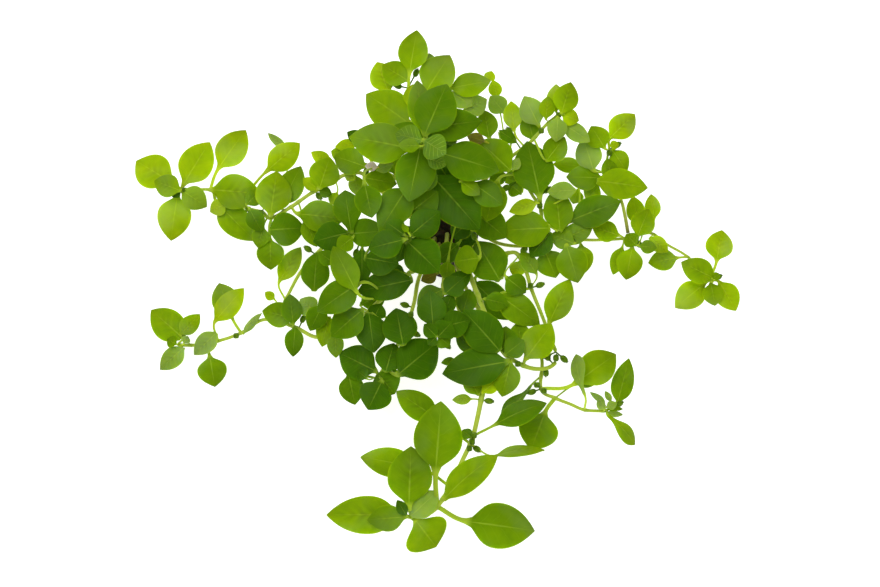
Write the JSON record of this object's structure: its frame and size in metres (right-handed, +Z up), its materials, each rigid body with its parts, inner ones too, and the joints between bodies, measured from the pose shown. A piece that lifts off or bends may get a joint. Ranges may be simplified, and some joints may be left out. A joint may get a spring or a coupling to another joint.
{
  "type": "ludwigia plant",
  "caption": "Emersed water plant with arching, branching shoots, opposite oval leaves and small seed capsules at the nodes, standing on a small plug of growing medium held by roots.",
  "frame": {"origin": "centre of the root plug's flat foot, on the surface that the plant stands on", "axes": "+Z up, +X towards the plant's right-hand shoots and -Y towards its nearest, southern shoots, as seen from the front"},
  "size_m": [0.2855, 0.2242, 0.1142],
  "materials": {
    "growing_medium": "matte",
    "green_stem": "satin",
    "green_leaf": "satin"
  },
  "bodies": {
    "root": {"leaf_east_1": "green_leaf", "leaf_east_2": "green_leaf", "leaf_east_3": "green_leaf", "leaf_east_4": "green_leaf", "leaf_east_5": "green_leaf", "leaf_east_6": "green_leaf", "leaf_east_7": "green_leaf", "leaf_east_8": "green_leaf", "leaf_northeast_1": "green_leaf", "leaf_northeast_2": "green_leaf", "leaf_south_1": "green_leaf", "leaf_south_2": "green_leaf", "leaf_south_3": "green_leaf", "leaf_south_4": "green_leaf", "leaf_south_5": "green_leaf", "leaf_south_6": "green_leaf", "leaf_south_7": "green_leaf", "leaf_south_8": "green_leaf", "leaf_south_9": "green_leaf", "leaf_southeast_1": "green_leaf", "leaf_southeast_2": "green_leaf", "leaf_southeast_3": "green_leaf", "leaf_southeast_4": "green_leaf", "leaf_southwest_1": "green_leaf", "leaf_southwest_2": "green_leaf", "leaf_southwest_3": "green_leaf", "leaf_southwest_4": "green_leaf", "leaf_top_1": "green_leaf", "leaf_top_2": "green_leaf", "leaf_top_3": "green_leaf", "leaf_top_4": "green_leaf", "leaf_west_1": "green_leaf", "leaf_west_10": "green_leaf", "leaf_west_2": "green_leaf", "leaf_west_3": "green_leaf", "leaf_west_4": "green_leaf", "leaf_west_5": "green_leaf", "leaf_west_6": "green_leaf", "leaf_west_7": "green_leaf", "leaf_west_8": "green_leaf", "leaf_west_9": "green_leaf", "root_plug": "growing_medium", "shoot_centre": "green_stem", "shoot_centre_right": "green_stem", "shoot_east": "green_stem", "shoot_east_low": "green_stem", "shoot_east_north": "green_stem", "shoot_north": "green_stem", "shoot_northeast": "green_stem", "shoot_northeast_low": "green_stem", "shoot_northwest": "green_stem", "shoot_south": "green_stem", "shoot_south_low": "green_stem", "shoot_south_mid": "green_stem", "shoot_southeast": "green_stem", "shoot_southeast_low": "green_stem", "shoot_southwest": "green_stem", "shoot_top": "green_stem", "shoot_west": "green_stem", "shoot_west_low": "green_stem"}
  },
  "joints": []
}
